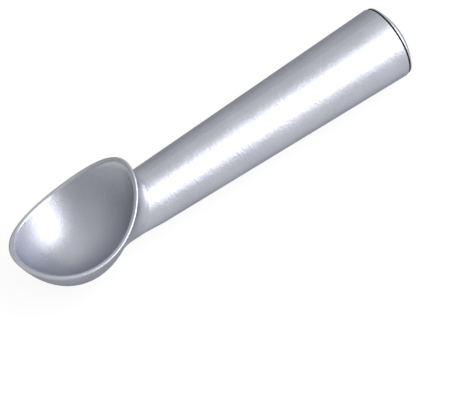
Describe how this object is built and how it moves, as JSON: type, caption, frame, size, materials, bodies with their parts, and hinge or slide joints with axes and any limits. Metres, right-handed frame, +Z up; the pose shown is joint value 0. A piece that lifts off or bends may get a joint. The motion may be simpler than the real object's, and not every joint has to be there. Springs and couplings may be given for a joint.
{
  "type": "ice cream scoop",
  "caption": "One-hand ice cream scoop with a tapered round hollow handle, a domed end cap and an open bowl with a curved rim.",
  "frame": {"origin": "centre of the bounding box on the surface that the scoop lies on", "axes": "+X from the handle's end towards the bowl's tip, +Z up, out of the bowl's opening; the scoop is mirrored about the XZ plane"},
  "size_m": [0.1832, 0.0458, 0.0381],
  "materials": {
    "satin_aluminium": "fine satin, cast and blasted",
    "cap_aluminium": "turned satin",
    "black_rubber": "matt"
  },
  "bodies": {
    "root": {"scoop_body": "satin_aluminium", "seal_ring": "black_rubber", "end_cap": "cap_aluminium"}
  },
  "joints": []
}
